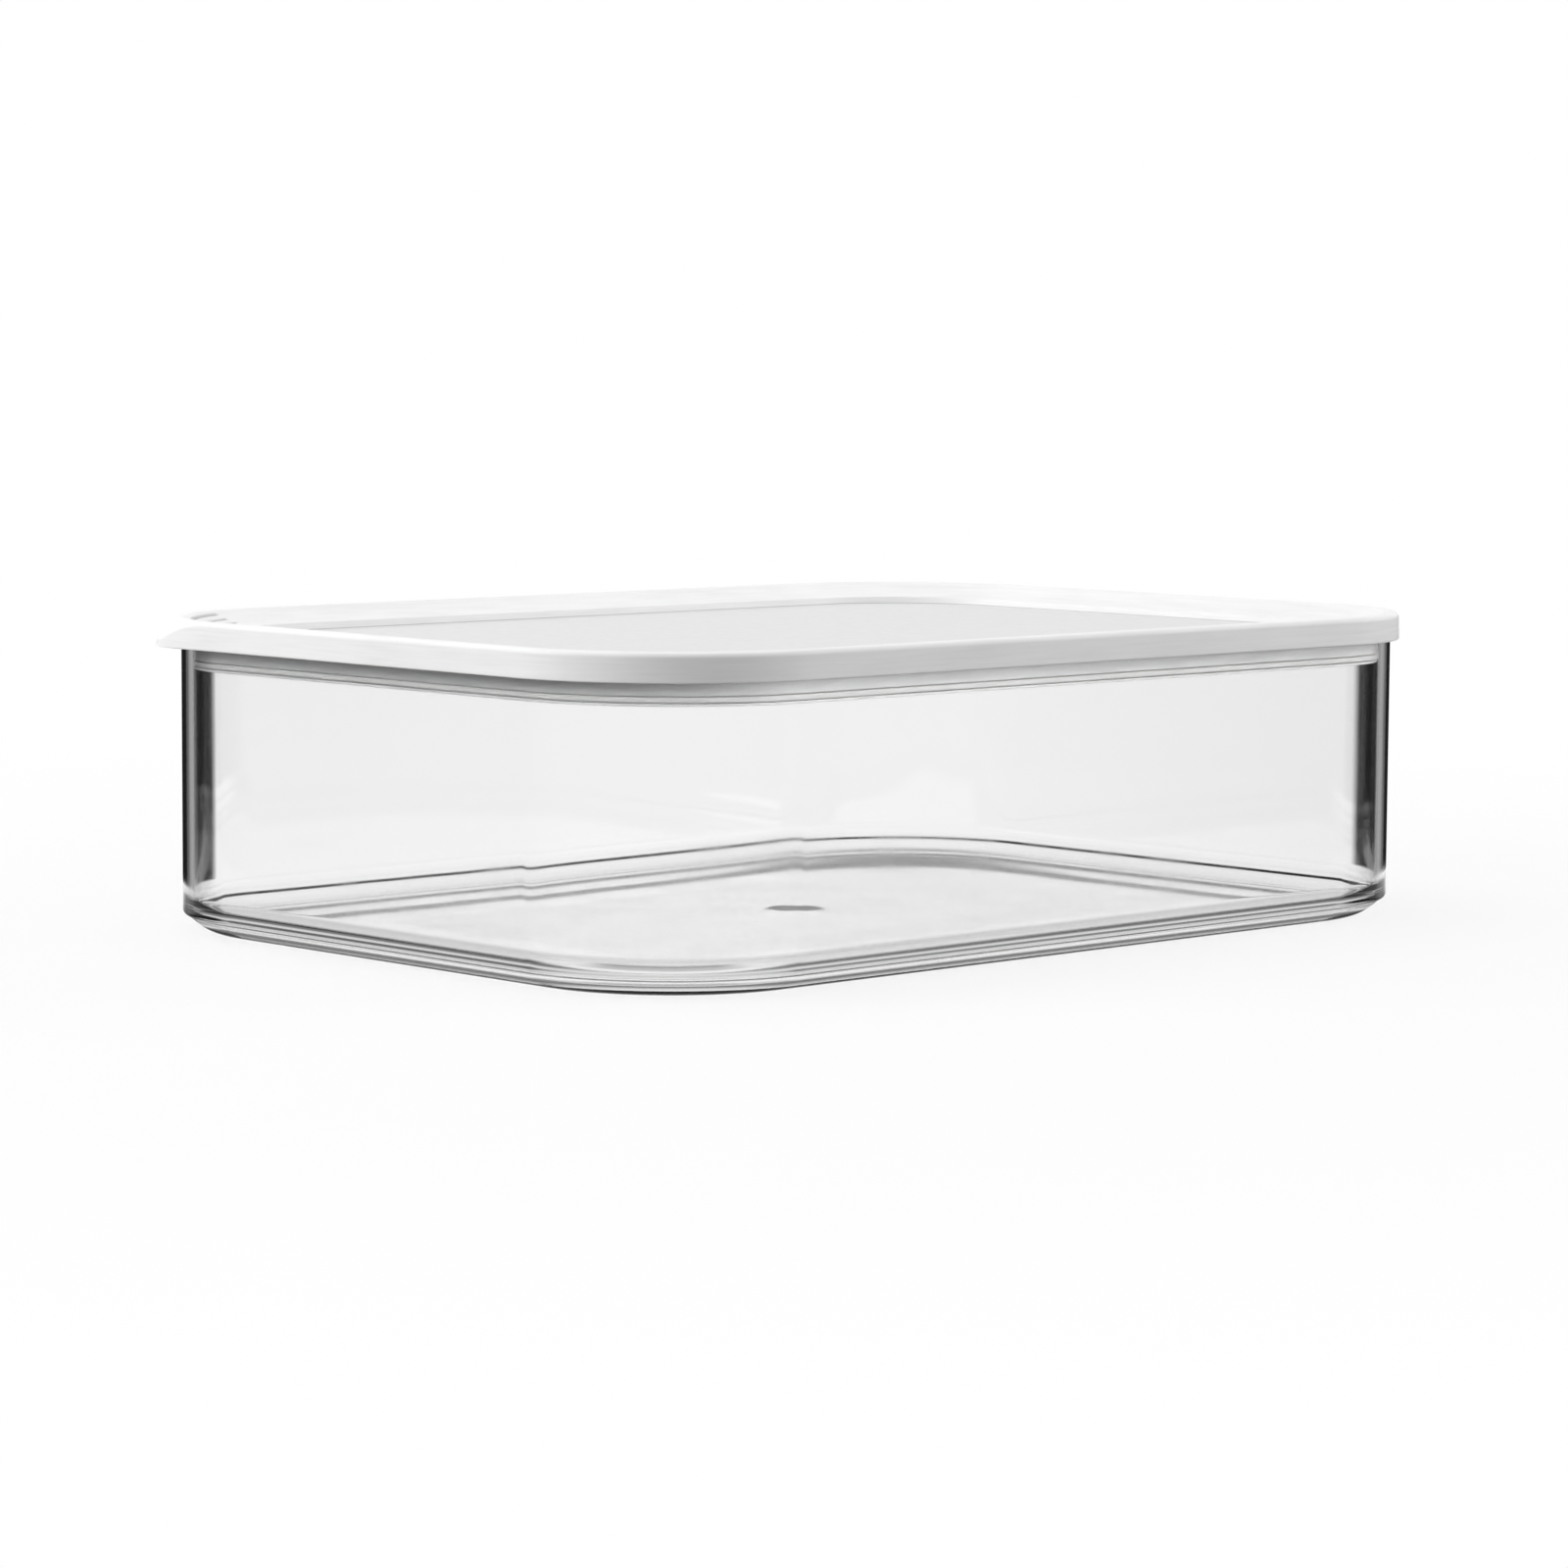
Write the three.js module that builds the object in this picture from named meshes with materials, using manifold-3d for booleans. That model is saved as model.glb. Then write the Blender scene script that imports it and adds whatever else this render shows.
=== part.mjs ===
// A shallow clear food box with a white press-on lid and a soft seal, for sliced meats in the fridge.
// Millimetres, +Z up. The origin is the middle of the face that the box stands on.
import * as THREE from 'three';
import { mergeVertices } from 'three/addons/utils/BufferGeometryUtils.js';
import Module from 'manifold-3d';

const wasm = await Module();
wasm.setup();

// The clear box. An inset is counted inwards from the outside of its walls.
const boxLength = 226;
const boxWidth = 164;
const boxHeight = 60.9;
const cornerRadius = 36;
const wallThickness = 2.2;
const floorThickness = 2.2;
const rimChamfer = 0.5;
const footHeight = 3.2;
const footStepInset = 1.2;
const footStepDrop = 0.6;
const footReach = 7.5;
const innerFilletHeight = 5.6;
const gateMarkDiameter = 10;
const gateMarkDepth = 0.4;

// The lid. Its heights are counted from the ceiling of the channel that takes the box's rim.
const lidThickness = 1.8;
const skirtThickness = 1.35;
const skirtHeight = 5.6;
const skirtFlare = 0.15;
const skirtEdgeRound = 0.35;
const crestRound = 1.1;
const crestInset = 0.9;
const dishWidth = 9.1;
const dishDepth = 2.8;
const dishFlatness = 0.35;
const recessDepth = 1.5;
const recessRun = 0.8;
const plugThickness = 1.7;
const plugDepth = 8.2;
const lidSeatGap = 0.3;
const skirtClearance = 0.35;
const plugClearance = 0.35;

// The pull lip: at one corner the skirt runs out and its top falls to a thin brim. Behind it, three
// grip grooves follow the corner round.
const lipAngle = 0.75 * Math.PI;
const lipFlat = THREE.MathUtils.degToRad(13);
const lipSpread = THREE.MathUtils.degToRad(45);
const lipReach = 3.2;
const lipBrim = 0.5;
const lipStraightness = 0.6;
const lipWall = 0.6;
const lipHollow = 2;
const gripCount = 3;
const gripSpread = THREE.MathUtils.degToRad(22);
const gripPitch = 2.3;
const gripInset = 2.2;
const gripRadius = 0.75;
const gripDepth = 0.35;

// The soft seal in its groove round the foot of the plug.
const sealHeight = 1.1;
const sealGrooveDepth = 0.85;
const sealLand = 0.5;
const sealGap = 0.15;
const sealNose = 0.25;

// How finely the round stretches are faceted.
const cornerSteps = 12;
const footSteps = 7;
const dishSteps = 6;
const roundSteps = 3;
const markSteps = 32;
const gripSteps = 8;
const gripHalfSides = 5;
const leastRadius = 0.5;

// Levels and insets that follow from the sizes above.
const plugOuter = wallThickness + plugClearance;
const plugInner = plugOuter + plugThickness;
const skirtInner = -skirtClearance;
const skirtOuter = skirtInner - skirtThickness;
const crest = lidThickness;
const skirtEdge = crest - skirtHeight;
const shoulder = crest - dishDepth;
const shoulderInset = crestInset + dishWidth;
const panel = shoulder - recessDepth;
const panelInset = shoulderInset + recessRun;
const lipDrop = skirtHeight - crestRound - lipBrim;
const grooveFloor = sealLand - plugDepth;
const grooveRoof = grooveFloor + sealHeight + 2 * sealGap;
const grooveInset = plugOuter + sealGrooveDepth;

// How much a point at this angle of the outline belongs to the pull lip, from 0 to 1.
function lipShare(angle) {
  const turn = Math.abs(angle - lipAngle);
  return THREE.MathUtils.smoothstep(lipSpread - turn, 0, lipSpread - lipFlat);
}

// One closed loop: the rounded outline of the walls drawn in by inset, at a height. At the pull lip
// it runs out by reach and up by rise, which gathers nearer to the middle of the lip.
function loop(inset, height, reach = 0, rise = 0) {
  const radius = Math.max(cornerRadius - inset, leastRadius);
  const points = [];
  for (let corner = 0; corner < 4; corner += 1) {
    const start = corner * Math.PI / 2;
    const sideX = corner === 0 || corner === 3 ? 1 : -1;
    const sideY = corner < 2 ? 1 : -1;
    const centreX = sideX * (boxLength / 2 - inset - radius);
    const centreY = sideY * (boxWidth / 2 - inset - radius);
    const arc = new THREE.EllipseCurve(centreX, centreY, radius, radius, start, start + Math.PI / 2);
    arc.getPoints(cornerSteps).forEach((point, step) => {
      const angle = start + (step / cornerSteps) * Math.PI / 2;
      const share = lipShare(angle);
      points.push(new THREE.Vector3(
        point.x + Math.cos(angle) * reach * share,
        point.y + Math.sin(angle) * reach * share,
        height + rise * share ** 2,
      ));
    });
  }
  return points;
}

// Loops along a plane curve whose x is the inset and whose y is the height.
function loopsAlong(curve, steps) {
  return curve.getPoints(steps).map((point) => loop(point.x, point.y));
}

// A closed skin through the loops, which start under the middle, run outwards and end on top of it.
// A ring's skin joins its last loop to its first, and any other is capped at both ends.
function skin(loops, ring = false) {
  const count = loops[0].length;
  const positions = loops.flat().flatMap((point) => point.toArray());
  const faces = [];
  const bands = ring ? loops.length : loops.length - 1;
  for (let band = 0; band < bands; band += 1) {
    const low = band * count;
    const high = ((band + 1) % loops.length) * count;
    for (let i = 0; i < count; i += 1) {
      const next = (i + 1) % count;
      faces.push(low + i, low + next, high + next);
      faces.push(low + i, high + next, high + i);
    }
  }
  if (!ring) {
    const last = (loops.length - 1) * count;
    const outline = (points) => points.map((point) => new THREE.Vector2(point.x, point.y));
    for (const [a, b, c] of THREE.ShapeUtils.triangulateShape(outline(loops[0]), [])) {
      faces.push(a, c, b);
    }
    for (const [a, b, c] of THREE.ShapeUtils.triangulateShape(outline(loops.at(-1)), [])) {
      faces.push(last + a, last + b, last + c);
    }
  }
  const geometry = new THREE.BufferGeometry();
  geometry.setAttribute('position', new THREE.Float32BufferAttribute(positions, 3));
  geometry.setIndex(faces);
  return geometry;
}

// A geometry as a solid that can be cut.
function solid(geometry) {
  geometry.deleteAttribute('normal');
  geometry.deleteAttribute('uv');
  const merged = mergeVertices(geometry);
  return new wasm.Manifold(new wasm.Mesh({
    numProp: 3,
    vertProperties: new Float32Array(merged.attributes.position.array),
    triVerts: new Uint32Array(merged.index.array),
  }));
}

// The geometry of a body with each of the cutters taken out of it.
function cut(geometry, cutters) {
  const rest = cutters.reduce((body, cutter) => body.subtract(solid(cutter)), solid(geometry));
  const mesh = rest.getMesh();
  const result = new THREE.BufferGeometry();
  result.setAttribute('position', new THREE.BufferAttribute(new Float32Array(mesh.vertProperties), 3));
  result.setIndex(new THREE.BufferAttribute(new Uint32Array(mesh.triVerts), 1));
  return result;
}

function namedMesh(name, geometry, finish) {
  geometry.computeVertexNormals();
  const mesh = new THREE.Mesh(geometry, new THREE.MeshStandardMaterial(finish));
  mesh.name = name;
  return mesh;
}

// Height of the stacking dish's surface: a slope that eases from the crest to the shoulder.
function dishHeight(inset) {
  const climb = (shoulderInset - inset) / dishWidth;
  return shoulder + dishDepth * (dishFlatness * climb + (1 - dishFlatness) * climb ** 2);
}

// The clear box: rounded foot, step, straight wall, chamfered rim, wall and floor inside.
function boxGeometry() {
  const foot = new THREE.QuadraticBezierCurve(
    new THREE.Vector2(footReach, 0),
    new THREE.Vector2(footStepInset + footHeight, 0),
    new THREE.Vector2(footStepInset, footHeight),
  );
  const innerReach = footReach - wallThickness;
  const fillet = new THREE.EllipseCurve(
    footReach, floorThickness + innerFilletHeight, innerReach, innerFilletHeight, Math.PI, 1.5 * Math.PI,
  );
  const wall = skin([
    ...loopsAlong(foot, footSteps),
    loop(0, footHeight + footStepDrop),
    loop(0, boxHeight - rimChamfer),
    loop(rimChamfer, boxHeight),
    loop(wallThickness - rimChamfer, boxHeight),
    loop(wallThickness, boxHeight - rimChamfer),
    ...loopsAlong(fillet, footSteps),
  ]);
  const mark = new THREE.CylinderGeometry(
    gateMarkDiameter / 2, gateMarkDiameter / 2, 2 * gateMarkDepth, markSteps,
  );
  mark.rotateX(Math.PI / 2);
  return cut(wall, [mark]);
}

// The underside of the lid, from its middle out to the inside of the skirt.
function lidUnderside() {
  const half = lidThickness / 2;
  const underDish = shoulderInset - half;
  const loops = [loop(panelInset - half, panel - lidThickness)];
  for (let step = 0; step <= dishSteps; step += 1) {
    const inset = THREE.MathUtils.lerp(underDish, plugInner, step / dishSteps);
    loops.push(loop(inset, dishHeight(inset) - lidThickness));
  }
  return [
    ...loops,
    loop(plugInner, -plugDepth),
    loop(plugOuter, -plugDepth),
    loop(plugOuter, grooveFloor),
    loop(grooveInset, grooveFloor),
    loop(grooveInset, grooveRoof),
    loop(plugOuter, grooveRoof),
    loop(plugOuter, 0),
    loop(skirtInner, 0),
  ];
}

// The outside of the skirt, from its lower edge up to the crest. At the pull lip the rounding of the crest
// widens to a slope that falls to the brim, and the underside is hollow.
function skirtOutside() {
  const edge = skirtOuter - skirtFlare;
  const loops = [
    loop(skirtInner, skirtEdge, 0, lipHollow),
    loop(edge + skirtEdgeRound + lipWall, skirtEdge, lipReach),
    loop(edge + skirtEdgeRound, skirtEdge, lipReach),
    loop(edge, skirtEdge + skirtEdgeRound, lipReach),
  ];
  for (let step = 0; step <= roundSteps; step += 1) {
    const turn = (step / roundSteps) * Math.PI / 2;
    const out = Math.cos(turn);
    const down = 1 - Math.sin(turn);
    const fall = lipDrop * THREE.MathUtils.lerp(down, out, lipStraightness);
    loops.push(loop(skirtOuter + crestRound * (1 - out), crest - crestRound * down, lipReach * out, -fall));
  }
  return loops;
}

// The top of the lid, from the crest down the stacking dish to the panel.
function lidTop() {
  const loops = [];
  for (let step = 0; step <= dishSteps; step += 1) {
    const inset = THREE.MathUtils.lerp(crestInset, shoulderInset, step / dishSteps);
    loops.push(loop(inset, dishHeight(inset)));
  }
  return [...loops, loop(panelInset, panel)];
}

// The centre line of one grip groove: an arc round the corner of the pull lip, just above the dish.
class GripArc extends THREE.Curve {
  constructor(inset) {
    super();
    this.inset = inset;
  }

  getPoint(share) {
    const angle = lipAngle + gripSpread * (2 * share - 1);
    const centreX = Math.sign(Math.cos(lipAngle)) * (boxLength / 2 - cornerRadius);
    const centreY = Math.sign(Math.sin(lipAngle)) * (boxWidth / 2 - cornerRadius);
    const radius = cornerRadius - this.inset;
    return new THREE.Vector3(
      centreX + radius * Math.cos(angle),
      centreY + radius * Math.sin(angle),
      dishHeight(this.inset) + gripRadius - gripDepth,
    );
  }
}

// Round rods that cut the grip grooves, one behind the other.
function gripCutters() {
  const section = new THREE.Shape().absarc(0, 0, gripRadius, 0, 2 * Math.PI);
  return Array.from({ length: gripCount }, (_, index) => new THREE.ExtrudeGeometry(section, {
    extrudePath: new GripArc(gripInset + index * gripPitch),
    steps: gripSteps,
    curveSegments: gripHalfSides,
    bevelEnabled: false,
  }));
}

function lidGeometry() {
  return cut(skin([...lidUnderside(), ...skirtOutside(), ...lidTop()]), gripCutters());
}

// The seal: a flat-backed ring whose nose meets the inside of the box's wall.
function sealGeometry() {
  const back = grooveInset - sealGap;
  const front = wallThickness + sealGap;
  const low = grooveFloor + sealGap;
  const high = low + sealHeight;
  return skin([
    loop(back, low),
    loop(front + sealNose, low),
    loop(front, low + sealNose),
    loop(front, high - sealNose),
    loop(front + sealNose, high),
    loop(back, high),
  ], true);
}

const clearPlastic = { color: 0xf3f5f5, roughness: 0.05, metalness: 0, transparent: true, opacity: 0.3 };
const whitePlastic = { color: 0xf1f1ef, roughness: 0.38, metalness: 0 };
const paleRubber = { color: 0xe2e2df, roughness: 0.6, metalness: 0 };

const lidGroup = new THREE.Group();
lidGroup.position.z = boxHeight + lidSeatGap;
lidGroup.add(namedMesh('lid', lidGeometry(), whitePlastic));
lidGroup.add(namedMesh('seal_ring', sealGeometry(), paleRubber));

const container = new THREE.Group();
container.add(namedMesh('box_body', boxGeometry(), clearPlastic));
container.add(lidGroup);

export default container;
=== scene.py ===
# Clear fridge box for cold cuts: a glossy moulded box, a white press-on lid and a soft seal on a white table.
import math
from functools import partial

import bpy
import numpy as np
from mathutils import Matrix, Vector


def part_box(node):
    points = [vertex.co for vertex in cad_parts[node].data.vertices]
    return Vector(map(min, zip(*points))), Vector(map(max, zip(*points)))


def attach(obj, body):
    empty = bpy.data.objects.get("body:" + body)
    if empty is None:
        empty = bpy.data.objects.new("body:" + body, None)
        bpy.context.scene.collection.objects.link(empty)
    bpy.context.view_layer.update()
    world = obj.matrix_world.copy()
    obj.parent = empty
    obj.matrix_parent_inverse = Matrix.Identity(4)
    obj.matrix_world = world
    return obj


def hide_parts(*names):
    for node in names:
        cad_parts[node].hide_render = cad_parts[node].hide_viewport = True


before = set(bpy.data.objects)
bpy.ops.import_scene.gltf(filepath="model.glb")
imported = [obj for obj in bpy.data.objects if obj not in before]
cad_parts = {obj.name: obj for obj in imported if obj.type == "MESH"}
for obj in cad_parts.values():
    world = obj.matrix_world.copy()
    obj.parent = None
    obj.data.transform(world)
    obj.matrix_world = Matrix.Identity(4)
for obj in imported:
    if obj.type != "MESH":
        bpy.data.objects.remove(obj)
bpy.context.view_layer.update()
mm = 0.001  # every size below is in millimetres, the meshes are in metres


def nodeBox(name):
    low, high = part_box(name)
    return np.array(low) / mm, np.array(high) / mm


boxLow, boxHigh = nodeBox("box_body")
lidLow, lidHigh = nodeBox("lid")
sealLow, sealHigh = nodeBox("seal_ring")
boxSpan = boxHigh - boxLow
print("frame loaded, box", np.round(boxSpan, 2), "crest of the lid at", round(float(lidHigh[2]), 2))


# Camera, fitted to the straight edges of the box: a long lens a metre away, just above the lid.
viewpoint = {
    "place": (-670.36, -698.50, 119.92),  # mm
    "yaw": 43.662,  # degrees, from +Y towards +X
    "tilt": 5.438,  # degrees below the horizon
    "roll": 0.328,
    "lens": 108.74,
    "sensor": 36.0,
    "clipStart": 50.0,
}


def makeCamera():
    lens = bpy.data.cameras.new("studioCamera")
    lens.sensor_width = viewpoint["sensor"]
    lens.lens = viewpoint["lens"]
    lens.clip_start = viewpoint["clipStart"] * mm
    camera = bpy.data.objects.new("studioCamera", lens)
    scene.collection.objects.link(camera)
    turn = Matrix.Rotation(-math.radians(viewpoint["yaw"]), 4, "Z")
    turn = turn @ Matrix.Rotation(math.radians(90 - viewpoint["tilt"]), 4, "X")
    turn = turn @ Matrix.Rotation(math.radians(viewpoint["roll"]), 4, "Z")
    camera.matrix_world = Matrix.Translation(Vector(viewpoint["place"]) * mm) @ turn
    scene.camera = camera


scene = bpy.context.scene
scene.view_settings.view_transform = "Standard"
makeCamera()
print("camera placed")


# sRGB hex to the linear colour that the shaders use.
def hexColour(code):
    value = np.array([int(code[i:i + 2], 16) for i in (0, 2, 4)]) / 255
    linear = np.where(value <= 0.04045, value / 12.92, ((value + 0.055) / 1.055) ** 2.4)
    return (*linear.tolist(), 1.0)


# Adds a node, sets its options and fills its sockets: a socket is linked, any other value is written in.
def addNode(tree, kind, sockets=(), **options):
    node = tree.nodes.new(kind)
    for name, value in options.items():
        setattr(node, name, value)
    for name, value in dict(sockets).items():
        if isinstance(value, bpy.types.NodeSocket):
            tree.links.new(value, node.inputs[name])
        else:
            node.inputs[name].default_value = value
    return node


def calculate(tree, operation, *values, **options):
    return addNode(tree, "ShaderNodeMath", enumerate(values), operation=operation, **options).outputs[0]


def remap(tree, value, before, after, **options):
    return addNode(tree, "ShaderNodeMapRange", {
        "Value": value, "From Min": before[0], "From Max": before[1],
        "To Min": after[0], "To Max": after[1]}, **options).outputs[0]


def vectorMath(tree, operation, *values, output="Vector"):
    return addNode(tree, "ShaderNodeVectorMath", enumerate(values), operation=operation).outputs[output]


def noise(tree, place, size, detail):
    return addNode(tree, "ShaderNodeTexNoise", {
        "Vector": place, "Scale": 1 / (size * mm), "Detail": detail}).outputs[0]


def bump(tree, height, distance, **sockets):
    return addNode(tree, "ShaderNodeBump", {
        "Height": height, "Strength": 1.0, "Distance": distance * mm, **sockets}).outputs[0]


def mixColour(tree, share, first, second):
    return addNode(tree, "ShaderNodeMix", {
        "Factor": share, "A": first, "B": second}, data_type="RGBA").outputs["Result"]


def readPoints(tree, name):
    return addNode(tree, "ShaderNodeAttribute", attribute_name=name).outputs["Fac"]


def writePoints(piece, name, values):
    piece.data.attributes.new(name, "FLOAT", "POINT").data.foreach_set("value", np.ravel(values))


def newMaterial(name):
    material = bpy.data.materials.new(name)
    material.use_nodes = True
    material.node_tree.nodes.clear()
    return material, material.node_tree


# The outline that every loop of the box, the lid and the seal follows.
walls = {
    "cornerRadius": 36.0,  # outside of the clear wall, in plan
    "cornerSteps": 48,
    "sideSteps": 26,
    "sideLead": 0.5,  # the first point of a straight side after a corner
    "capSteps": 10,
    "capRadii": (8, 4, 1),  # the last circles of a flat middle
}
# How a section's corners are eased.
easing = {
    "steps": 6,
    "mostCut": 0.48,  # of the way to the next corner
    "longRun": 1.2,  # a straight run over this gets a point close to each end
    "support": 0.15,  # from the end of a long run to its extra point
    "leastGap": 1e-4,
}


def wallPath(moreAtLip=0):
    # Anticlockwise round the box. A point is a centre and a normal: the centre rests in the four corners and
    # slides along the sides, so the loop at an inset is centre + (cornerRadius - inset) * normal.
    centres = np.array([[1, 1], [-1, 1], [-1, -1], [1, -1]]) * (boxSpan[:2] / 2 - walls["cornerRadius"])
    placed, turned = [], []
    for corner in range(4):
        more = moreAtLip if corner == 1 else 0
        arc = np.linspace(corner, corner + 1, walls["cornerSteps"] + 1 + more)
        run = centres[(corner + 1) % 4] - centres[corner]
        lead = walls["sideLead"] / np.abs(run).sum()
        side = np.linspace(lead, 1 - lead, walls["sideSteps"])[:, None]
        placed += [np.repeat(centres[corner:corner + 1], len(arc), 0), centres[corner] + side * run]
        turned += [arc, np.full(len(side), corner + 1.0)]
    angle = np.concatenate(turned) * math.pi / 2
    return np.concatenate(placed), np.stack([np.cos(angle), np.sin(angle)], 1), angle


def easedSection(corners, closed=False):
    # Corner rows: inset, height, easing, and for the lid reach and rise. Each corner is cut back by its
    # easing along both neighbours and bridged by the curve (1 - t)^2 * before + 2 t (1 - t) * corner +
    # t^2 * after. Long straight runs get a point close to each end.
    rows = np.array([tuple(row) + (0.0,) * (5 - len(row)) for row in corners])
    shape, cut = np.delete(rows, 2, axis=1), rows[:, 2]
    before, after = np.roll(shape, 1, 0), np.roll(shape, -1, 0)
    if not closed:
        before[0], after[-1] = shape[0], shape[-1]

    def cutBack(neighbour):
        length = np.linalg.norm((neighbour - shape)[:, :2], axis=1)
        share = np.minimum(cut / np.maximum(length, 1e-6), easing["mostCut"])
        return (shape + (neighbour - shape) * share[:, None])[:, None]

    t = np.linspace(0, 1, easing["steps"] + 1)[None, :, None]
    curve = (1 - t) ** 2 * cutBack(before) + 2 * t * (1 - t) * shape[:, None] + t ** 2 * cutBack(after)
    points = curve.reshape(-1, shape.shape[1])
    gap = np.linalg.norm(np.diff(points[:, :2], axis=0), axis=1)
    points = points[np.concatenate([[True], gap > easing["leastGap"]])]
    step = np.diff(points, axis=0)
    gap = np.linalg.norm(step[:, :2], axis=1)
    far = np.flatnonzero(gap > easing["longRun"])
    lead = step[far] * (easing["support"] / gap[far])[:, None]
    extra = np.stack([points[far] + lead, points[far + 1] - lead], 1).reshape(-1, points.shape[1])
    return np.insert(points, np.repeat(far + 1, 2), extra, axis=0)


def carrySection(section, path, share=0.0):
    # out = cornerRadius - inset + reach * share, point = centre + out * normal, and the height grows by
    # rise * share squared.
    centre, normal, angle = path
    inset, height, reach, rise = section.T[..., None]
    share = np.zeros_like(angle) + share
    out = walls["cornerRadius"] - inset + reach * share
    flat = centre + out[..., None] * normal
    return np.concatenate([flat, (height + rise * share ** 2)[..., None]], 2)


def capRings(edge, mark):
    # The edge loop melts into the mark's first circle, (1 - share) * edge + share * circle, and the mark's
    # own circles, rows of radius and height, lead on to the middle.
    turn = np.arctan2(edge[:, 1], edge[:, 0])
    radius, height = np.array(mark, float).T[..., None]
    circles = np.stack([radius * np.cos(turn), radius * np.sin(turn), height + 0 * turn], 2)
    share = np.linspace(0, 1, walls["capSteps"] + 1)[1:-1, None, None]
    return np.concatenate([(1 - share) * edge + share * circles[0], circles])


def loftedPiece(name, rings, ends="closed"):
    # Rings run from under the middle, round the outside, to the top of the middle. Quads join them, and a fan
    # closes each end. A ring-shaped piece joins its last loop to its first instead, a sheet leaves both open.
    loops, count = rings.shape[:2]
    index = np.arange(loops * count).reshape(loops, count)
    low, high = (index, np.roll(index, -1, 0)) if ends == "joined" else (index[:-1], index[1:])
    quads = np.stack([low, np.roll(low, -1, 1), np.roll(high, -1, 1), high], 2).reshape(-1, 4)
    points, faces = rings.reshape(-1, 3), quads.tolist()
    if ends == "closed":
        points = np.concatenate([points, rings[:1].mean(1), rings[-1:].mean(1)])
        first, last = index[0], index[-1]
        under, over = np.full(count, loops * count), np.full(count, loops * count + 1)
        faces += np.stack([under, np.roll(first, -1), first], 1).tolist()
        faces += np.stack([over, last, np.roll(last, -1)], 1).tolist()
    mesh = bpy.data.meshes.new(name)
    mesh.from_pydata((points * mm).tolist(), [], faces)
    mesh.shade_smooth()
    piece = bpy.data.objects.new(name, mesh)
    scene.collection.objects.link(piece)
    return piece


# The clear box. Insets count inwards from the outside of the wall.
clearBox = {
    "wall": 2.2,
    "floor": 2.2,
    "rimRound": 0.5,
    "footHeight": 3.2,
    "footStep": 1.2,  # how far the foot is set in under the wall
    "footStepDrop": 0.6,
    "footStepRound": 0.2,
    "footRound": 0.7,  # lower edge of the wall
    "footReach": 7.5,  # where the foot's curve meets the flat that it stands on
    "innerFillet": 5.6,
    "curveSteps": 28,
    "gateRadius": 5.0,  # the round mark that the mould's gate leaves under the floor
    "gateNib": 1.1,  # radius of the nib in its middle
    "gateDepth": 0.4,
    # Rows of distance from the edge of the mark, and from that of the nib, with the share of the depth there.
    "gateEdge": ((0.5, 0), (0.1, 0), (-0.15, 0.3), (-0.5, 0.875), (-0.9, 1)),
    "nibEdge": ((0.4, 1), (0.05, 0.875), (-0.2, 0.4), (-0.6, 0.25)),
}


def makeClearBox():
    box = clearBox
    top = boxHigh[2]
    t = np.linspace(0, 1, box["curveSteps"])
    # Foot: quadratic curve from the flat, along it, then up at 45 degrees to the step.
    start, bend, end = (np.array(point) for point in (
        (box["footReach"], 0), (box["footStep"] + box["footHeight"], 0),
        (box["footStep"], box["footHeight"])))
    foot = ((1 - t) ** 2)[:, None] * start + (2 * t * (1 - t))[:, None] * bend + (t ** 2)[:, None] * end
    # Inside: quarter ellipse from the wall to the floor.
    inside = np.stack([
        box["footReach"] - (box["footReach"] - box["wall"]) * np.cos(t * math.pi / 2),
        box["floor"] + box["innerFillet"] * (1 - np.sin(t * math.pi / 2)),
    ], 1)
    section = easedSection([
        *[(*point, 0) for point in foot[:-1]],
        (*foot[-1], box["footStepRound"]),
        (0, box["footHeight"] + box["footStepDrop"], box["footRound"]),
        (0, top, box["rimRound"]),
        (box["wall"], top, box["rimRound"]),
        *[(*point, 0) for point in inside],
    ])
    rings = carrySection(section, wallPath())
    edges = ((box["gateRadius"], box["gateEdge"]), (box["gateNib"], box["nibEdge"]))
    gate = [(radius + away, share * box["gateDepth"]) for radius, rows in edges for away, share in rows]
    under = capRings(rings[0], gate)[::-1]
    inner = capRings(rings[-1], [(radius, box["floor"]) for radius in walls["capRadii"]])
    return loftedPiece("clearBox", np.concatenate([under, rings, inner]))


# The lid. Heights are measured down from its crest.
pressLid = {
    "thickness": 1.8,
    "skirtThickness": 1.35,
    "skirtHeight": 5.6,
    "skirtFlare": 0.15,
    "edgeRound": 0.35,
    "crestRound": 1.1,
    "crestInset": 0.9,
    "crestSteps": 14,
    "dishWidth": 9.1,
    "dishDepth": 2.8,
    "dishFlatness": 0.35,
    "dishSteps": (72, 10),  # across the grip grooves, and from there to the shoulder
    "underSteps": 16,
    "recessDepth": 1.5,
    "recessRun": 0.5,
    # painted shade along the foot of the recess: its share, and the rows that it covers
    "recessShade": 0.7,
    "shadeRows": (6, 1),  # the foot of the recess, counted back from the last row of the section
    "mattRows": 3,  # last rows of the section, on the flat panel
    "plugThickness": 1.7,
    "skirtGap": 0.35,  # skirt to wall
    "plugGap": 0.35,  # wall to plug
    "grooveDepth": 0.85,
    "grooveLand": 0.5,
    "grooveHeight": 1.4,
}
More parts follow.
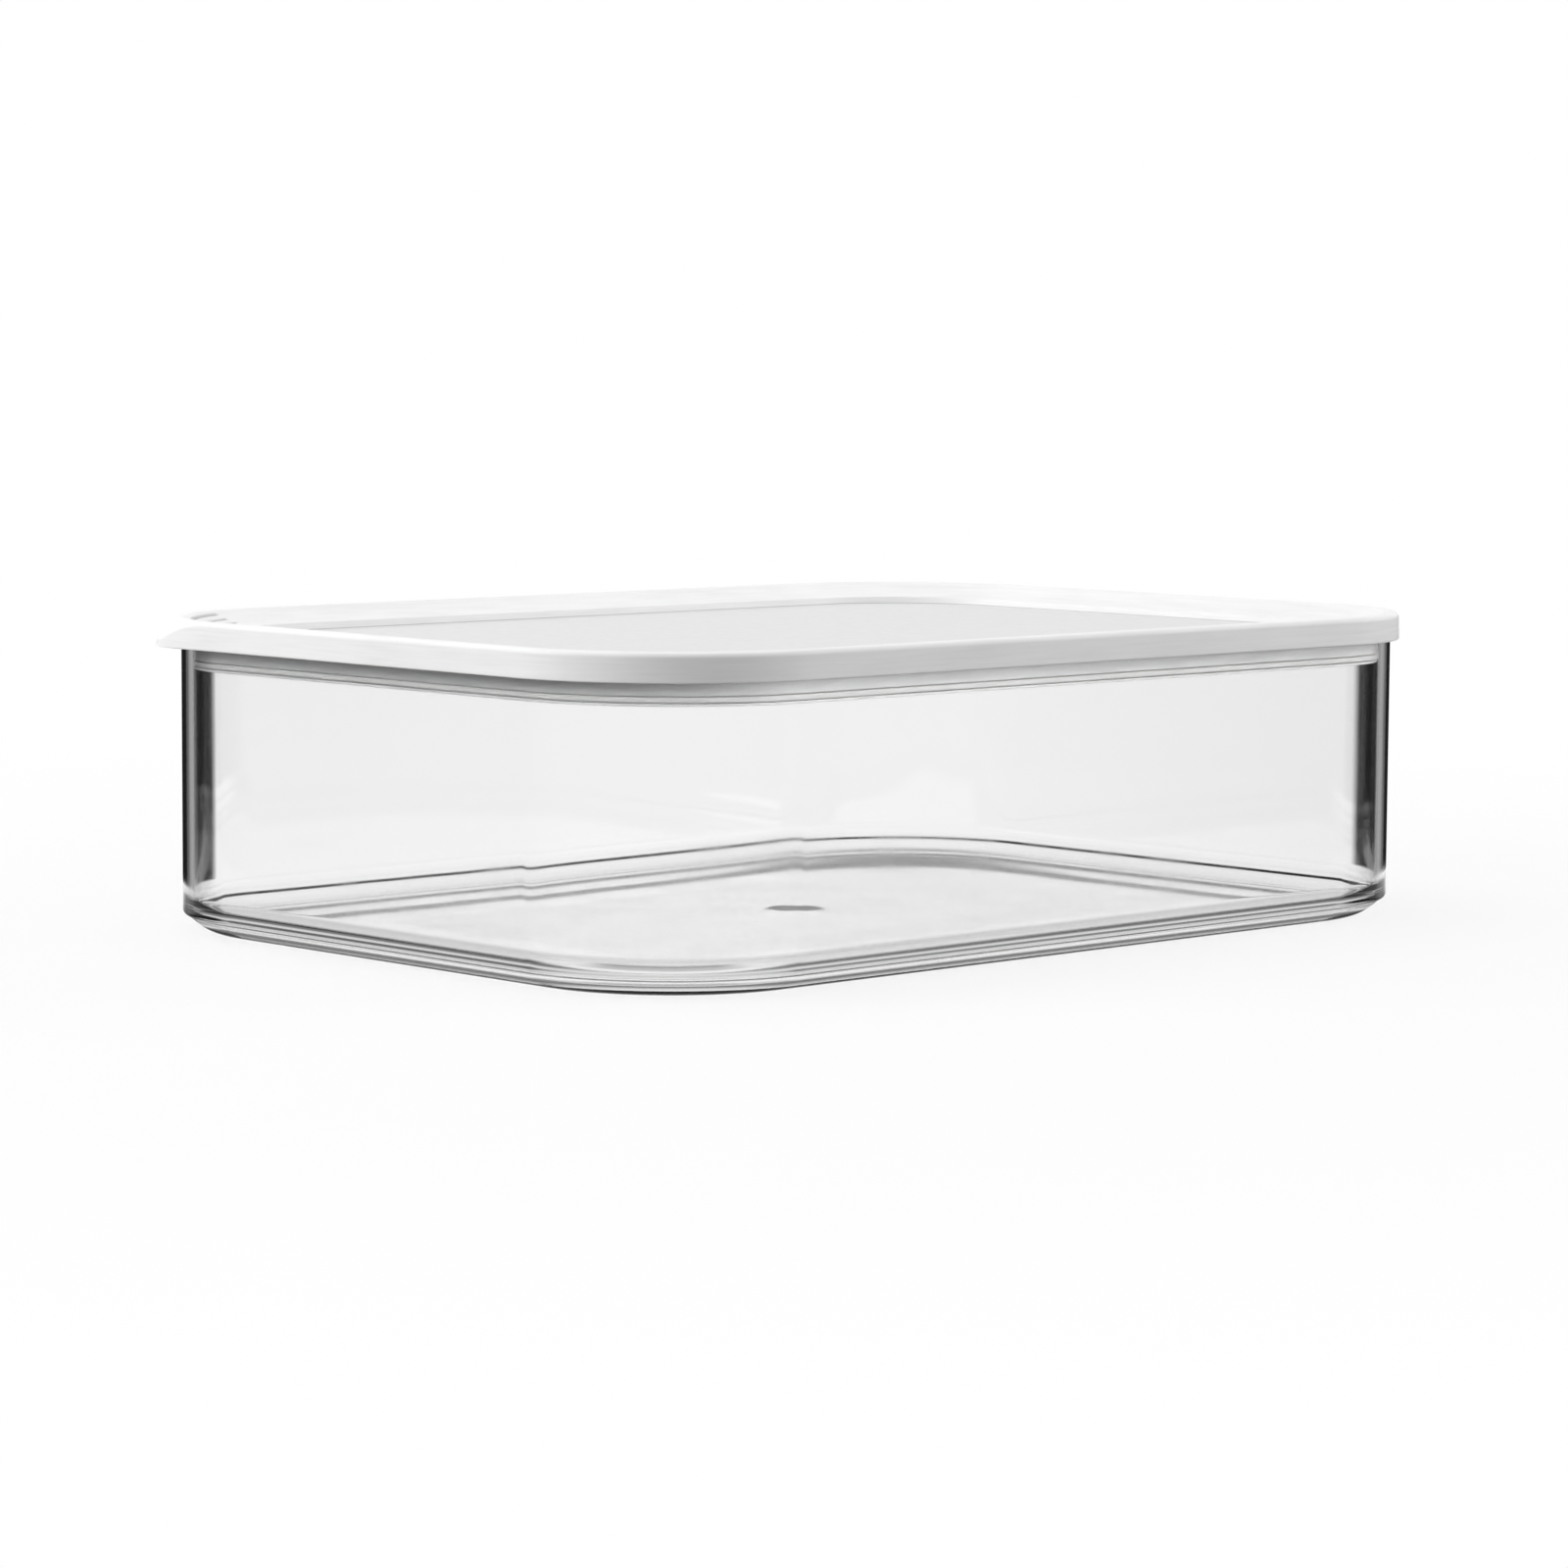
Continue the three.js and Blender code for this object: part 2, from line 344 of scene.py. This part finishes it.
# How far the lid's corners are cut back, from under its middle to its top.
lidRounds = {
    "underPanel": 0.6,
    "underShoulder": 0.5,
    "plugRoot": 0.6,
    "plugInside": 0.45,
    "plugFoot": 0.22,
    "grooveEdge": 0.1,
    "grooveCorner": 0.12,
    "ceiling": 0.3,
    "skirtInside": 0.2,
    "lipInside": 0.1,
    "skirtTop": 0.16,
    "crest": 0.4,
    "shoulder": 0.35,
    "recessFoot": 0.2,
}
pullLip = {
    "angle": 135.0,  # degrees, the corner that it stands at
    "flat": 13.0,
    "spread": 45.0,
    "reach": 3.2,
    "brim": 0.5,
    "straightness": 0.6,
    "wall": 0.6,
    "hollow": 2.0,
    "moreSteps": 60,
}
gripGrooves = {
    "count": 3,
    "spread": 22.0,  # degrees to each side of the lip's middle
    "pitch": 2.3,
    "inset": 2.2,
    "halfWidth": 0.52,
    "depth": 0.9,
}


def dishHeight(inset):
    # The dish's slope leaves the crest steeply and eases out towards the shoulder. It lies below the crest by
    # depth * (1 - flat * climb - (1 - flat) * climb squared), with climb 1 there and 0 at the shoulder.
    climb = (pressLid["crestInset"] + pressLid["dishWidth"] - inset) / pressLid["dishWidth"]
    flat = pressLid["dishFlatness"]
    return lidHigh[2] - pressLid["dishDepth"] * (1 - flat * climb - (1 - flat) * climb ** 2)


def lipShare(angle):
    # Smooth step from 0 at the ends of the lip to 1 along its flat middle.
    turn = np.abs(np.degrees(angle) - pullLip["angle"])
    share = np.clip((pullLip["spread"] - turn) / (pullLip["spread"] - pullLip["flat"]), 0, 1)
    return share ** 2 * (3 - 2 * share)


# Easings for a run of rows of which only the two ends are corners.
def endsEased(count, first, last):
    return [first] + [0] * (count - 2) + [last]


def lidSection():
    # From under the middle, round the plug, its groove and the skirt, over the crest and down to the panel.
    lid, lip, grip, rounds = pressLid, pullLip, gripGrooves, lidRounds
    crest, plugFoot = lidHigh[2], lidLow[2]
    ceiling, skirtEdge = crest - lid["thickness"], crest - lid["skirtHeight"]
    shoulder = lid["crestInset"] + lid["dishWidth"]
    panel = dishHeight(shoulder) - lid["recessDepth"]
    panelInset, half = shoulder + lid["recessRun"], lid["thickness"] / 2
    plugOuter = clearBox["wall"] + lid["plugGap"]
    plugInner = plugOuter + lid["plugThickness"]
    groove = plugOuter + lid["grooveDepth"]
    grooveFloor = plugFoot + lid["grooveLand"]
    grooveRoof = grooveFloor + lid["grooveHeight"]
    skirtInner = -lid["skirtGap"]
    skirtOuter = skirtInner - lid["skirtThickness"]
    edge = skirtOuter - lid["skirtFlare"]
    drop = lid["skirtHeight"] - lid["crestRound"] - lip["brim"]

    underDish = np.linspace(shoulder - half, plugInner, lid["underSteps"])
    underEasing = endsEased(len(underDish), rounds["underShoulder"], rounds["plugRoot"])
    gripped = grip["inset"] + grip["pitch"] * grip["count"] - grip["pitch"] / 2
    dish = np.concatenate([
        np.linspace(lid["crestInset"], gripped, lid["dishSteps"][0]),
        np.linspace(gripped, shoulder, lid["dishSteps"][1])[1:]])
    dishEasing = endsEased(len(dish), rounds["crest"], rounds["shoulder"])
    # Rounding of the crest: out = cos, down = 1 - sin. At the lip it widens to a slope that falls to the
    # brim.
    turn = np.linspace(0, math.pi / 2, lid["crestSteps"])
    out, down = np.cos(turn), 1 - np.sin(turn)
    fall = drop * (lip["straightness"] * out + (1 - lip["straightness"]) * down)
    rounding = np.stack([
        skirtOuter + lid["crestRound"] * (1 - out), crest - lid["crestRound"] * down, 0 * out,
        lip["reach"] * out, -fall], 1)
    section = easedSection([
        (panelInset - half, panel - lid["thickness"], rounds["underPanel"]),
        *zip(underDish, dishHeight(underDish) - lid["thickness"], underEasing),
        (plugInner, plugFoot, rounds["plugInside"]),
        (plugOuter, plugFoot, rounds["plugFoot"]),
        (plugOuter, grooveFloor, rounds["grooveEdge"]),
        (groove, grooveFloor, rounds["grooveCorner"]),
        (groove, grooveRoof, rounds["grooveCorner"]),
        (plugOuter, grooveRoof, rounds["grooveEdge"]),
        (plugOuter, ceiling, rounds["ceiling"]),
        (skirtInner, ceiling, rounds["ceiling"]),
        (skirtInner, skirtEdge, rounds["skirtInside"], 0, lip["hollow"]),
        (edge + lid["edgeRound"] + lip["wall"], skirtEdge, rounds["lipInside"], lip["reach"]),
        (edge, skirtEdge, lid["edgeRound"], lip["reach"]),
        (*rounding[0, :2], rounds["skirtTop"], *rounding[0, 3:]),
        *rounding[1:],
        *zip(dish, dishHeight(dish), dishEasing),
        (panelInset, panel, rounds["recessFoot"]),
    ])
    return section, panel


def gripShare(section, angle):
    # Each groove is a steep trough along an arc of the dish, 1 - (distance / half width) ** 4 of its depth.
    grip = gripGrooves
    inset = section[:, 0][:, None]
    onTop = np.arange(len(section))[:, None] > np.argmin(inset)  # past the skirt's edge, the outermost row
    onDish = onTop & (inset > pressLid["crestInset"])
    past = np.clip(np.abs(np.degrees(angle) - pullLip["angle"]) - grip["spread"], 0, None)
    past = np.radians(past) * (walls["cornerRadius"] - inset)
    sunk = np.zeros(past.shape)
    for place in grip["inset"] + grip["pitch"] * np.arange(grip["count"]):
        near = 1 - (((inset - place) ** 2 + past ** 2) / grip["halfWidth"] ** 2) ** 2
        sunk = np.maximum(sunk, np.clip(near, 0, None) * onDish)
    return sunk


def makeLid():
    lid = pressLid
    section, panel = lidSection()
    path = wallPath(pullLip["moreSteps"])
    rings = carrySection(section, path, lipShare(path[2]))
    sunk = gripShare(section, path[2])
    rings[..., 2] -= gripGrooves["depth"] * sunk

    under = capRings(rings[0], [(radius, panel - lid["thickness"]) for radius in walls["capRadii"]])[::-1]
    top = capRings(rings[-1], [(radius, panel) for radius in walls["capRadii"]])
    piece = loftedPiece("pressLid", np.concatenate([under, rings, top]))
    # Share of the finely matt panel, 1 on the flat top inside the recess, for the lid's material. The last
    # two values of each share belong to the middles of the end fans.
    loops, count = len(under) + len(rings) + len(top), rings.shape[1]
    matt = np.zeros((loops, count))
    matt[-len(top) - lid["mattRows"]:] = 1
    writePoints(piece, "mattPanel", np.append(matt, [0, 1]))
    # Share of painted shade: in the grip grooves, and in a fine line along the foot of the recess.
    paintedShade = np.zeros((loops, count))
    paintedShade[len(under):-len(top)] = np.sqrt(sunk)
    first, last = (len(under) + len(rings) - row for row in lid["shadeRows"])
    paintedShade[first:last] = lid["recessShade"]
    writePoints(piece, "paintedShadeShare", np.append(paintedShade, [0, 0]))
    return piece


# The soft seal: flat back in the groove, round nose towards the wall.
softSeal = {"gap": 0.15, "nose": 0.4, "back": 0.1}


def makeSeal():
    back = clearBox["wall"] + pressLid["plugGap"] + pressLid["grooveDepth"] - softSeal["gap"]
    front = clearBox["wall"] + softSeal["gap"]
    section = easedSection([
        (back, sealLow[2], softSeal["back"]),
        (front, sealLow[2], softSeal["nose"]),
        (front, sealHigh[2], softSeal["nose"]),
        (back, sealHigh[2], softSeal["back"]),
    ], closed=True)
    return loftedPiece("softSeal", carrySection(section, wallPath()), ends="joined")


# SAN, injection moulded against a polished tool: clear as glass, edges gather dark and light lines, and the
# walls are just wavy enough to make straight lines behind them tremble.
clearSan = {
    "tint": "ffffff",
    "ior": 1.57,
    "polish": (0.015, 0.045),  # roughness, from the glossiest to the haziest spots
    "hazeSize": 14.0,
    "hazeRange": (0.35, 0.7),  # of the noise
    "waveSize": 26.0,
    "waveHeight": 0.02,
    "scuffSize": 1.2,
    "scuffRange": (0.55, 0.75),
    "scuffRoughness": 0.3,  # where the foot slides on shelves
    "scuffTop": 0.35,
    "gateShade": "c2c2c2",  # grey painted shade over the mark where the melt came in at the gate
    "blushCore": 0.8,  # share of the gate's radius inside which it is at its full
    "blushRoughness": 0.3,
}


def clearSanMaterial():
    plastic = clearSan
    material, tree = newMaterial("clearSan")
    place = addNode(tree, "ShaderNodeTexCoord").outputs["Object"]
    haze = noise(tree, place, plastic["hazeSize"], detail=3.0)
    polish = remap(tree, haze, plastic["hazeRange"], plastic["polish"])
    scuff = noise(tree, place, plastic["scuffSize"], detail=5.0)
    worn = remap(tree, scuff, plastic["scuffRange"], (0.0, plastic["scuffRoughness"]))
    height = addNode(tree, "ShaderNodeSeparateXYZ", {"Vector": place}).outputs["Z"]
    low = remap(tree, height, (0.0, plastic["scuffTop"] * mm), (1.0, 0.0))
    rough = calculate(tree, "ADD", polish, calculate(tree, "MULTIPLY", worn, low))
    flat = vectorMath(tree, "MULTIPLY", place, (1.0, 1.0, 0.0))
    away = vectorMath(tree, "LENGTH", flat, output="Value")
    rim = clearBox["gateRadius"] * mm
    gate = remap(tree, away, (rim, rim * plastic["blushCore"]), (0.0, 1.0))
    # painted shade: the gate mark is tinted grey; its extra roughness is the cloudy spot of the gate
    tint = mixColour(tree, gate, hexColour(plastic["tint"]), hexColour(plastic["gateShade"]))
    rough = calculate(tree, "MULTIPLY_ADD", gate, plastic["blushRoughness"], rough)
    wavy = bump(tree, noise(tree, place, plastic["waveSize"], detail=1.0), plastic["waveHeight"])
    shader = addNode(tree, "ShaderNodeBsdfPrincipled", {
        "Base Color": tint, "Roughness": rough, "IOR": plastic["ior"],
        "Transmission Weight": 1.0, "Normal": wavy})
    addNode(tree, "ShaderNodeOutputMaterial", {"Surface": shader.outputs[0]})
    return material


# Polyethylene, injection moulded: milky white with a soft satin sheen. The panel comes off an eroded part of
# the mould, which leaves a fine matt grain.
whitePolyethylene = {
    "white": "f4f4f4",
    "shade": "ebebeb",  # the faint clouding of the melt, and the fine lines left by polishing the mould
    "streakRange": (0.1, 0.4),
    "grained": "e6e6e6",  # the matt panel looks greyer
    "grainedLow": "dadada",
    "paintedShade": "b4b4b4",  # painted shade in the grip grooves and at the foot of the recess
    "cloudSize": 30.0,
    "ior": 1.51,
    "satin": (0.34, 0.42),
    "matt": 0.7,
    "grainSize": 0.7,  # the real grain is about 0.1, drawn coarser so that it shows
    "grainHeight": 0.012,
    "mottleSize": 1.8,
    "skinSize": 0.6,  # spacing of the polishing lines, which run level
    "skinStretch": 0.04,
    "skinHeight": 0.004,
    "skinRange": (0.3, 0.7),
}


def whitePolyethyleneMaterial():
    plastic = whitePolyethylene
    material, tree = newMaterial("whitePolyethylene")
    place = addNode(tree, "ShaderNodeTexCoord").outputs["Object"]
    panel, dustyAndShaded = readPoints(tree, "mattPanel"), readPoints(tree, "paintedShadeShare")
    cloud = noise(tree, place, plastic["cloudSize"], detail=3.0)
    level = vectorMath(tree, "MULTIPLY", place, (plastic["skinStretch"], plastic["skinStretch"], 1.0))
    skin = noise(tree, level, plastic["skinSize"], detail=3.0)
    streak = remap(tree, calculate(tree, "MULTIPLY", cloud, skin), plastic["streakRange"], (0.0, 1.0))
    mottle = noise(tree, place, plastic["mottleSize"], detail=3.0)
    glossy = mixColour(tree, streak, hexColour(plastic["white"]), hexColour(plastic["shade"]))
    grained = mixColour(tree, mottle, hexColour(plastic["grained"]), hexColour(plastic["grainedLow"]))
    colour = mixColour(tree, panel, glossy, grained)
    # painted shade darkens the grip grooves and the foot of the recess
    colour = mixColour(tree, dustyAndShaded, colour, hexColour(plastic["paintedShade"]))
    satin = remap(tree, skin, plastic["skinRange"], plastic["satin"])
    rough = remap(tree, panel, (0.0, 1.0), (satin, plastic["matt"]))
    soft = bump(tree, skin, plastic["skinHeight"])
    grain = noise(tree, place, plastic["grainSize"], detail=2.0)
    normal = bump(tree, grain, plastic["grainHeight"], Strength=panel, Normal=soft)
    shader = addNode(tree, "ShaderNodeBsdfPrincipled", {
        "Base Color": colour, "Roughness": rough, "IOR": plastic["ior"], "Normal": normal})
    addNode(tree, "ShaderNodeOutputMaterial", {"Surface": shader.outputs[0]})
    return material


# Thermoplastic elastomer: soft, dull and a little greyer than the lid, with a fine dusty bloom.
softElastomer = {
    "pale": "f2f2f1",
    "dustyAndShaded": "e6e6e5",
    "ior": 1.48,
    "roughness": (0.55, 0.72),
    "bloomSize": 1.6,
    "bloomRange": (0.3, 0.7),
    "bloomHeight": 0.01,
}


def softElastomerMaterial():
    rubber = softElastomer
    material, tree = newMaterial("softElastomer")
    place = addNode(tree, "ShaderNodeTexCoord").outputs["Object"]
    bloom = noise(tree, place, rubber["bloomSize"], detail=4.0)
    colour = mixColour(tree, bloom, hexColour(rubber["pale"]), hexColour(rubber["dustyAndShaded"]))
    rough = remap(tree, bloom, rubber["bloomRange"], rubber["roughness"])
    shader = addNode(tree, "ShaderNodeBsdfPrincipled", {
        "Base Color": colour, "Roughness": rough, "IOR": rubber["ior"],
        "Normal": bump(tree, bloom, rubber["bloomHeight"])})
    addNode(tree, "ShaderNodeOutputMaterial", {"Surface": shader.outputs[0]})
    return material


# Each piece with its maker, finish, body, CAD node and slot.
assembly = (
    (makeClearBox, clearSanMaterial, "box", "box_body", "clear_plastic"),
    (makeLid, whitePolyethyleneMaterial, "lid", "lid", "white_plastic"),
    (makeSeal, softElastomerMaterial, "lid", "seal_ring", "seal_rubber"),
)
for makePiece, makeFinish, body, node, slotName in assembly:
    piece = makePiece()
    piece.data.materials.append(makeFinish())
    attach(piece, body)
    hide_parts(node)
    print("piece", piece.name, "faces", len(piece.data.polygons))


# Studio: a white table in a white room. Black flags stand between the white screens of the room, so that the
# edges of clear plastic draw dark lines, and soft lamps shine from the left, from above and from the right.
studio = {
    "tableSize": 8000.0,
    "tableDrop": 0.15,  # below the foot of the box
    "tableWhite": "f2f2f2",
    "tableDim": "989898",  # the table as it lights the undersides
    "tableGlow": 0.82,  # how much of the table's white is there without the lamps, close to the box
    "glowNear": 180.0,
    "glowFar": 480.0,
    "roomFill": 0.52,  # light of the room on matt surfaces
    "screens": 8,  # white screens round the room
    "screenTurn": 46.5,  # degrees, middle of one of them
    "screenHalf": 13.0,  # degrees from its middle to its edge
    "screenSoft": 1.5,
    "screenTop": (8.0, 13.0),
    "ceiling": 0.3,  # light of what is above the screens, through clear plastic
    "flagLight": 0.008,
    "flagTop": (4.0, 1.0),  # degrees above the horizon, where the flags fade in
    "flagFoot": (-40.0, -30.0),
    # The far half of the room as a reflection shows it: dark with light stripes, and a light left side.
    "stripeTurn": 9.0,  # degrees, middle of a stripe
    "stripeSpacing": 78.0,
    "stripeEdge": (0.75, 0.92),  # of the cosine across the stripes, dark to light
    "stripeLight": (0.015, 0.38),
    "sideTurn": (114.0, 120.0),
    "sideLight": 0.35,
    "farWhite": (-11.0, -20.0),  # degrees, where a reflection meets the white table behind the box
    "farHalf": (34.0, 16.0),
    "frontMirrored": 0.4,  # light of the grey front half of the room in a reflection
    "frontTurn": 223.0,  # degrees, its middle
    "frontHalf": (97.0, 93.0),
    "throughFill": 0.12,  # light of the room on what stands behind clear plastic
    # Lamps as they light what stands there: turn and height in degrees, light, narrowness.
    "throughRight": (-50.0, 12.0, 6.4, 4.0),
    "throughLeft": (190.0, 48.0, 16.0, 10.0),
}
# The table round the foot as clear plastic shows it. The light of the room comes from behind, so the shade
# lies on the side of the camera.
footShade = {
    # Rows of inset and light: the dark outside, the paler foot, a light band and a dark line inside it.
    "along": ((-60, 0.2), (-30, 0.2), (-8, 0.03), (-3.4, 0.02), (-2.4, 0.13), (0, 0.15), (1, 0.2), (2, 0.6),
              (3, 0.75), (3.6, 0.3), (4.2, 0.08), (5.5, 0.15), (7, 0.9), (9, 1.0), (40, 1.0)),
    # One more dark line at the near corner.
    "corner": ((9, 1.0), (10, 0.6), (13, 0.5), (14.3, 0.2), (16, 0.7), (18, 1.0)),
    "turn": 225.0,  # degrees, the near corner
    "cornerEnd": (42.0, 26.0),  # degrees from there, where the corner's line fades in
    "end": 117.0,  # degrees from there to where all of it has faded out
    "fade": 2.0,
    # Rays within this cosine of the middle of the room's front half pass through, reflections within 0.
    "passing": -0.2,
}
lamps = {
    "keyLeft": {"place": (-1040, 640, 180), "size": 900, "watts": 11.4},
    "overhead": {"place": (-150, 200, 1200), "size": 1100, "watts": 5.7},
    "fillRight": {"place": (980, -660, 250), "size": 900, "watts": 7.4},
}


def makeTable():
    half = studio["tableSize"] / 2 * mm
    corners = np.array([[-1, -1], [1, -1], [1, 1], [-1, 1]]) * half
    mesh = bpy.data.meshes.new("studioTable")
    mesh.from_pydata(np.c_[corners, np.full(4, -studio["tableDrop"] * mm)].tolist(), [], [(0, 1, 2, 3)])
    table = bpy.data.objects.new("studioTable", mesh)
    scene.collection.objects.link(table)
    material, tree = newMaterial("studioTable")
    ray = addNode(tree, "ShaderNodeLightPath").outputs
    place = addNode(tree, "ShaderNodeTexCoord").outputs["Object"]
    away = vectorMath(tree, "LENGTH", place, output="Value")
    glow = remap(tree, away, (studio["glowNear"] * mm, studio["glowFar"] * mm), (studio["tableGlow"], 1.0),
                 interpolation_type="SMOOTHSTEP")
    share = calculate(tree, "MULTIPLY", ray["Is Camera Ray"], glow)
    colour = mixColour(
        tree, ray["Is Diffuse Ray"], hexColour(studio["tableWhite"]), hexColour(studio["tableDim"]))
    lit = addNode(tree, "ShaderNodeBsdfDiffuse", {"Color": colour}).outputs[0]
    bright = addNode(tree, "ShaderNodeEmission").outputs[0]
    surface = addNode(tree, "ShaderNodeMixShader", {0: share, 1: lit, 2: bright}).outputs[0]
    addNode(tree, "ShaderNodeOutputMaterial", {"Surface": surface})
    table.data.materials.append(material)
    table.visible_glossy = False  # gloss and clear plastic show the room's screens and flags instead
    table.visible_transmission = False


def makeFootShade():
    # A sheet between the foot and the table that only shows through clear plastic.
    along, corner = np.array(footShade["along"], float), np.array(footShade["corner"], float)
    inset = np.union1d(along[:, 0], corner[:, 0])
    section = np.stack([inset, np.full_like(inset, -studio["tableDrop"] / 2), 0 * inset, 0 * inset], 1)
    path = wallPath()
    sheet = loftedPiece("footShade", carrySection(section, path), ends="open")
    # light = 1 - (1 - row) * share, with the share clipped from fade * (cos(angle) - cos(end)).
    near = np.cos(path[2] - math.radians(footShade["turn"]))
    share = np.clip(footShade["fade"] * (near - math.cos(math.radians(footShade["end"]))), 0, 1)
    cornerShare = np.interp(near, np.cos(np.radians(footShade["cornerEnd"])), (0, 1))
    light = 1 - (1 - np.interp(inset, *along.T)[:, None]) * share
    light *= 1 - (1 - np.interp(inset, *corner.T)[:, None]) * cornerShare
    writePoints(sheet, "light", light)
    farCorners = np.outer(inset < clearBox["footStep"], (1 - share) * np.abs(np.sin(2 * path[2])))
    writePoints(sheet, "farSide", farCorners)
    material, tree = newMaterial("footShade")
    shade = addNode(tree, "ShaderNodeEmission", {"Strength": readPoints(tree, "light")}).outputs[0]
    # What heads for the front half of the room passes through, as do reflections outside the far corners.
    ray = addNode(tree, "ShaderNodeLightPath").outputs
    mirrored = calculate(tree, "MINIMUM", ray["Glossy Depth"], 1.0)
    back = addNode(tree, "ShaderNodeNewGeometry").outputs["Incoming"]
    front = math.radians(studio["frontTurn"])
    facing = vectorMath(tree, "DOT_PRODUCT", back, (-math.cos(front), -math.sin(front), 0.0), output="Value")
    limit = calculate(tree, "MULTIPLY_ADD", mirrored, -footShade["passing"], footShade["passing"])
    passing = calculate(tree, "MAXIMUM", calculate(tree, "GREATER_THAN", facing, limit),
                        calculate(tree, "MULTIPLY", mirrored, readPoints(tree, "farSide")))
    clear = addNode(tree, "ShaderNodeBsdfTransparent").outputs[0]
    surface = addNode(tree, "ShaderNodeMixShader", {0: passing, 1: shade, 2: clear}).outputs[0]
    addNode(tree, "ShaderNodeOutputMaterial", {"Surface": surface})
    sheet.data.materials.append(material)
    sheet.visible_camera = False
    sheet.visible_diffuse = False
    sheet.visible_shadow = False


def sines(angles):
    return np.sin(np.radians(angles)).tolist()


def cosines(angles):
    return np.cos(np.radians(angles)).tolist()


def makeRoom():
    # White for what the camera sees directly, in gloss and through clear plastic, and a plain fill for matt
    # surfaces. Clear plastic also shows the flags: dark where cos(screens * turn) falls below its value at a
    # screen's edge, from a little above the horizon to well below it. Reflections show the stripes instead.
    room = bpy.data.worlds.new("studioRoom")
    room.use_nodes = True
    tree = room.node_tree
    tree.nodes.clear()
    work = partial(calculate, tree)
    blend = partial(remap, tree)
    whole = (0.0, 1.0)

    ray = addNode(tree, "ShaderNodeLightPath").outputs
    sight = addNode(tree, "ShaderNodeTexCoord").outputs["Generated"]
    way = addNode(tree, "ShaderNodeSeparateXYZ", {"Vector": sight}).outputs
    rise = way["Z"]
    turn = work("SUBTRACT", work("ARCTAN2", way["Y"], way["X"]), math.radians(studio["screenTurn"]))
    mirrored = work("MINIMUM", ray["Glossy Depth"], 1.0)
    through = work("MINIMUM", ray["Transmission Depth"], 1.0)

    wave = work("COSINE", work("MULTIPLY", turn, float(studio["screens"])))
    screenEdge = np.array([studio["screenHalf"], studio["screenHalf"] + studio["screenSoft"]])
    flag = blend(wave, cosines(studio["screens"] * screenEdge), whole)
    screens = blend(flag, whole, (1.0, studio["flagLight"]))

    across = work("SUBTRACT", turn, math.radians(studio["stripeTurn"] - studio["screenTurn"]))
    across = work("COSINE", work("MULTIPLY", across, 360 / studio["stripeSpacing"]))
    far = blend(across, studio["stripeEdge"], studio["stripeLight"])
    side = blend(turn, [math.radians(angle - studio["screenTurn"]) for angle in studio["sideTurn"]], whole)
    far = blend(side, whole, (far, studio["sideLight"]))
    steep = blend(rise, sines(studio["farWhite"]), whole)
    ahead = blend(work("COSINE", turn), cosines(studio["farHalf"]), whole)
    far = blend(work("MULTIPLY", steep, ahead), whole, (far, 1.0))

    ring = blend(mirrored, whole, (screens, far))
    toFront = work("COSINE", work("SUBTRACT", turn, math.radians(studio["frontTurn"] - studio["screenTurn"])))
    front = blend(toFront, cosines(studio["frontHalf"]), whole)
    ring = blend(work("MULTIPLY", front, mirrored), whole, (ring, studio["frontMirrored"]))
    up = blend(rise, sines(studio["screenTop"]), whole)
    top = blend(work("MULTIPLY", up, through), whole, (1.0, studio["ceiling"]))
    below = blend(rise, sines(studio["flagTop"]), whole)
    above = blend(rise, sines(studio["flagFoot"]), whole)
    bent = work("ADD", ray["Transmission Depth"], ray["Glossy Depth"], use_clamp=True)
    zone = work("MULTIPLY", work("MULTIPLY", below, above), bent)
    white = blend(zone, whole, (top, ring))

    # What stands behind clear plastic gets the light of the side lamps from the room: the cosine of the angle
    # from the lamp, to the power of its narrowness.
    behind = studio["throughFill"]
    for angle, height, light, narrow in (studio["throughRight"], studio["throughLeft"]):
        angle, height = math.radians(angle), math.radians(height)
        lamp = (math.cos(angle) * math.cos(height), math.sin(angle) * math.cos(height), math.sin(height))
        facing = vectorMath(tree, "DOT_PRODUCT", sight, lamp, output="Value")
        behind = work("MULTIPLY_ADD", work("POWER", work("MAXIMUM", facing, 0.0), narrow), light, behind)
    fill = blend(through, whole, (studio["roomFill"], behind))
    seen = work("MAXIMUM", work("MAXIMUM", ray["Is Camera Ray"], ray["Is Glossy Ray"]),
                ray["Is Transmission Ray"])
    straight = work("SUBTRACT", seen, ray["Diffuse Depth"], use_clamp=True)
    level = blend(straight, whole, (fill, white))
    shader = addNode(tree, "ShaderNodeBackground", {"Color": (1, 1, 1, 1), "Strength": level})
    addNode(tree, "ShaderNodeOutputWorld", {"Surface": shader.outputs[0]})
    scene.world = room


def makeLamp(name, lamp):
    light = bpy.data.lights.new(name, "AREA")
    light.shape = "DISK"
    light.size = lamp["size"] * mm
    light.energy = lamp["watts"]
    softbox = bpy.data.objects.new(name, light)
    softbox.location = Vector(lamp["place"]) * mm
    softbox.rotation_euler = (-softbox.location).to_track_quat("-Z", "Y").to_euler()
    softbox.visible_camera = False
    softbox.visible_glossy = False
    softbox.visible_transmission = False
    scene.collection.objects.link(softbox)


makeTable()
makeFootShade()
makeRoom()
for lampName, lampSettings in lamps.items():
    makeLamp(lampName, lampSettings)
print("studio lit by", ", ".join(lamps))
